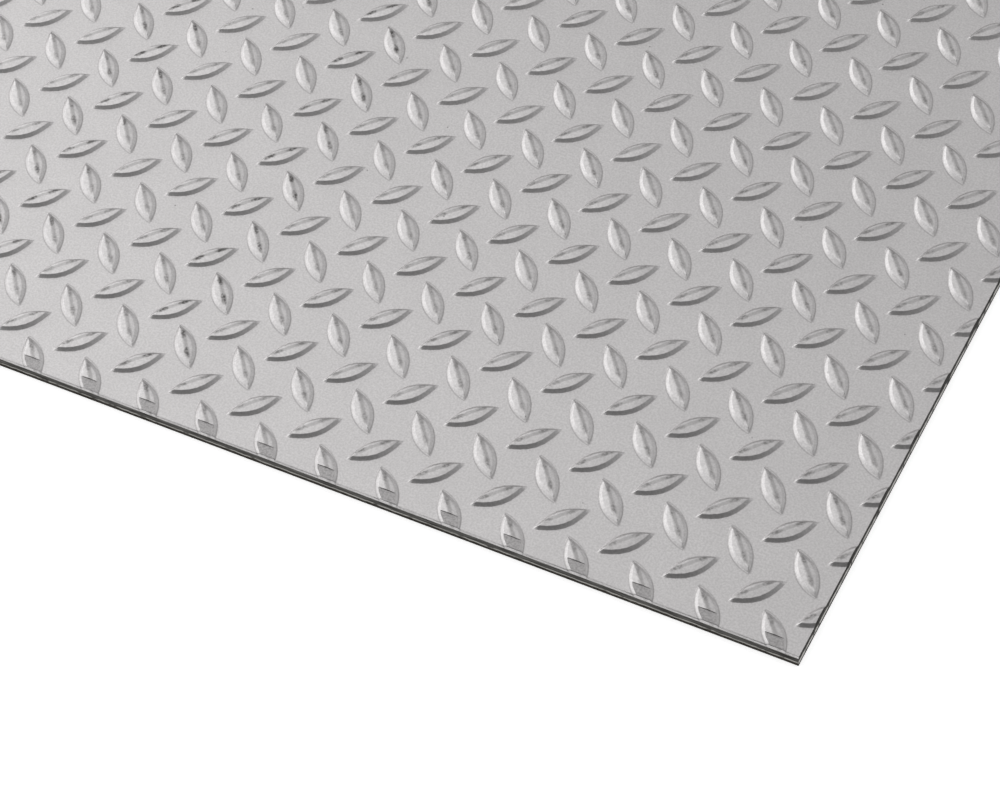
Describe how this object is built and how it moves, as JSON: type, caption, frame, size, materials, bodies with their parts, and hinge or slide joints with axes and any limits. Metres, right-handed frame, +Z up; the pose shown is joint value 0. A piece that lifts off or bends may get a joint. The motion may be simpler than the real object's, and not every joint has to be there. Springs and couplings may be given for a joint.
{
  "type": "checker steel plate",
  "caption": "Flat rectangular steel plate with sheared edges and a rolled pattern of raised lens-shaped lugs, turned by a right angle from one to the next.",
  "frame": {"origin": "middle of the underside", "axes": "+X along the long side, +Y along the short side away from the viewer, +Z up out of the lugged face"},
  "size_m": [0.6, 0.5, 0.0098],
  "materials": {
    "rolled_steel": "satin mill finish, lightly mottled, with darker sheared edges"
  },
  "bodies": {
    "root": {"checker_plate": "rolled_steel"}
  },
  "joints": []
}
